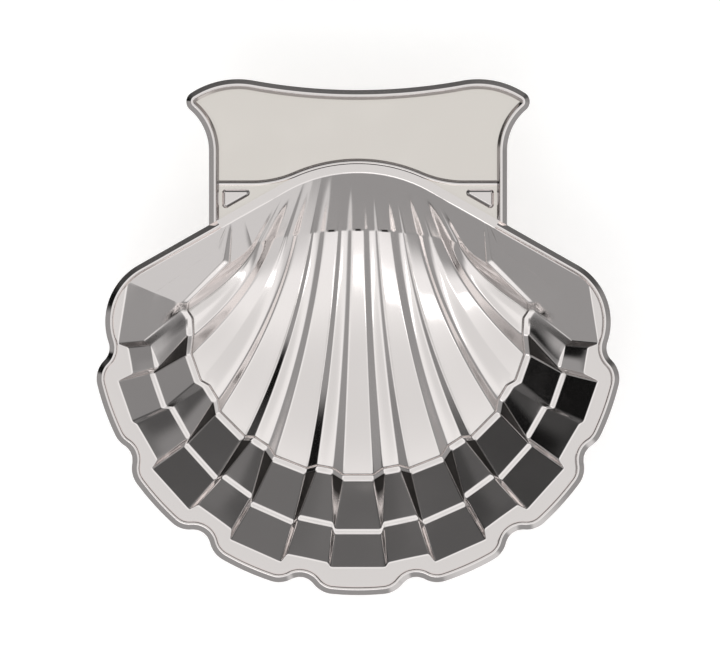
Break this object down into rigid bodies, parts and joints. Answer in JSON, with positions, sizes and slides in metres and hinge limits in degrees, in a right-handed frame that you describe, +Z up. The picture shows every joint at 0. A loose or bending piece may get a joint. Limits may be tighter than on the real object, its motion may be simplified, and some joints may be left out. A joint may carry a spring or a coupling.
{
  "type": "baptismal shell",
  "caption": "Scallop-shaped baptismal shell: a fluted silver dish with a wire-edged scalloped rim, a flat flared handle and ball feet, for pouring water at a font.",
  "frame": {"origin": "on the table under the middle of the shell's outline", "axes": "+Z up, +Y from the bowl towards the handle, +X to the right when the handle points away"},
  "size_m": [0.1206, 0.119, 0.0234],
  "materials": {
    "bowl_silver": "polished silver plate over brass sheet",
    "wire_silver": "polished silver plate over brass wire",
    "panel_silver": "finely brushed silver plate over brass sheet",
    "foot_silver": "polished silver plate over turned brass"
  },
  "bodies": {
    "root": {"shell_bowl": "bowl_silver", "bowl_rim_wire": "wire_silver", "handle_plate": "panel_silver", "handle_border": "wire_silver", "brow_wire": "wire_silver", "ear_drop_left": "wire_silver", "ear_drop_right": "wire_silver", "foot_collar_front_left": "foot_silver", "foot_ball_front_left": "foot_silver", "foot_collar_front_right": "foot_silver", "foot_ball_front_right": "foot_silver", "foot_collar_back": "foot_silver", "foot_ball_back": "foot_silver"}
  },
  "joints": []
}
